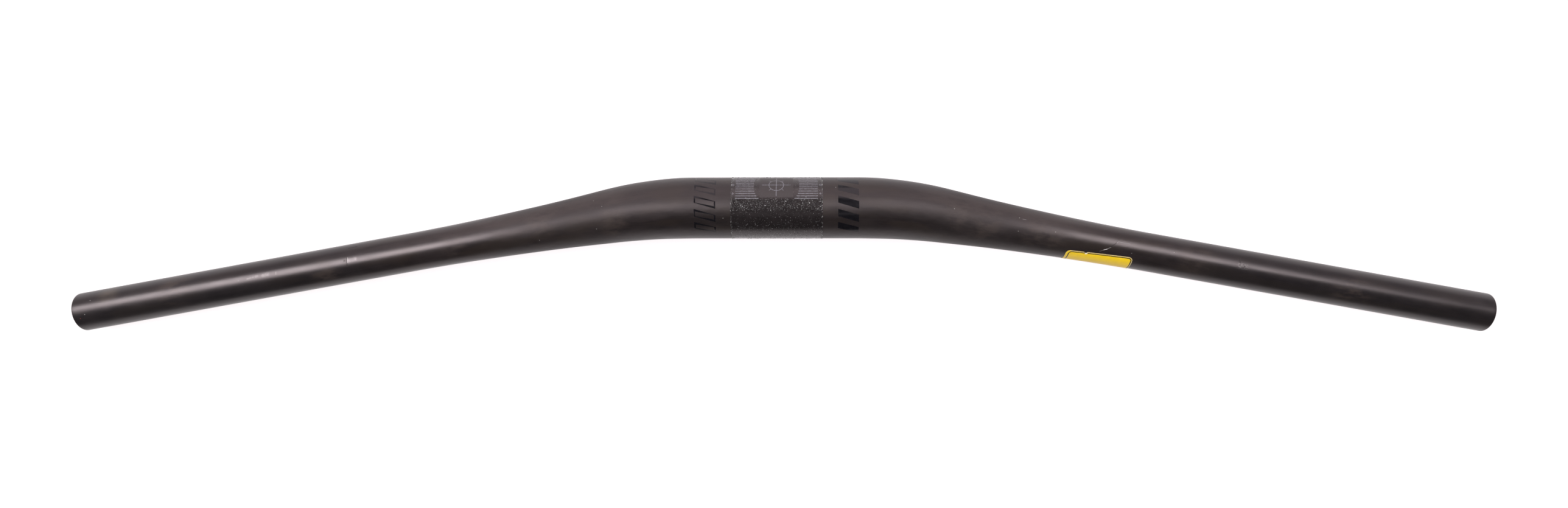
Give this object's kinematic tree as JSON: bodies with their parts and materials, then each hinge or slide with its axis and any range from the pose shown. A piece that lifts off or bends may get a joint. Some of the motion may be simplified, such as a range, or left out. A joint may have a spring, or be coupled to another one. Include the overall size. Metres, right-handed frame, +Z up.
{
  "type": "handlebar",
  "caption": "Low-rise mountain bike handlebar: hollow carbon tube, thick straight stem-clamp land in the middle, tapering through shallow bends to slim straight grip ends.",
  "frame": {"origin": "centre of the stem-clamp land, on its axis", "axes": "+X along the clamp axis towards the rider's left, +Y the way the grips sweep (towards the rider), +Z up. The bar lies as it comes to rest on a table, on the underside of the clamp land and on both ends, 17.5 mm below the origin. A turn of +34.9 degrees about +X brings it to the usual riding angle, 9 degrees of back sweep and 5 degrees of up sweep."},
  "size_m": [0.8198, 0.0892, 0.035],
  "materials": {
    "carbon": "satin clear coat over dark unidirectional carbon, grit coat in the clamp zone",
    "film": "smooth yellow adhesive film with a thin dark line inside its edge"
  },
  "bodies": {
    "root": {"handlebar": "carbon", "blank_sticker": "film"}
  },
  "joints": []
}
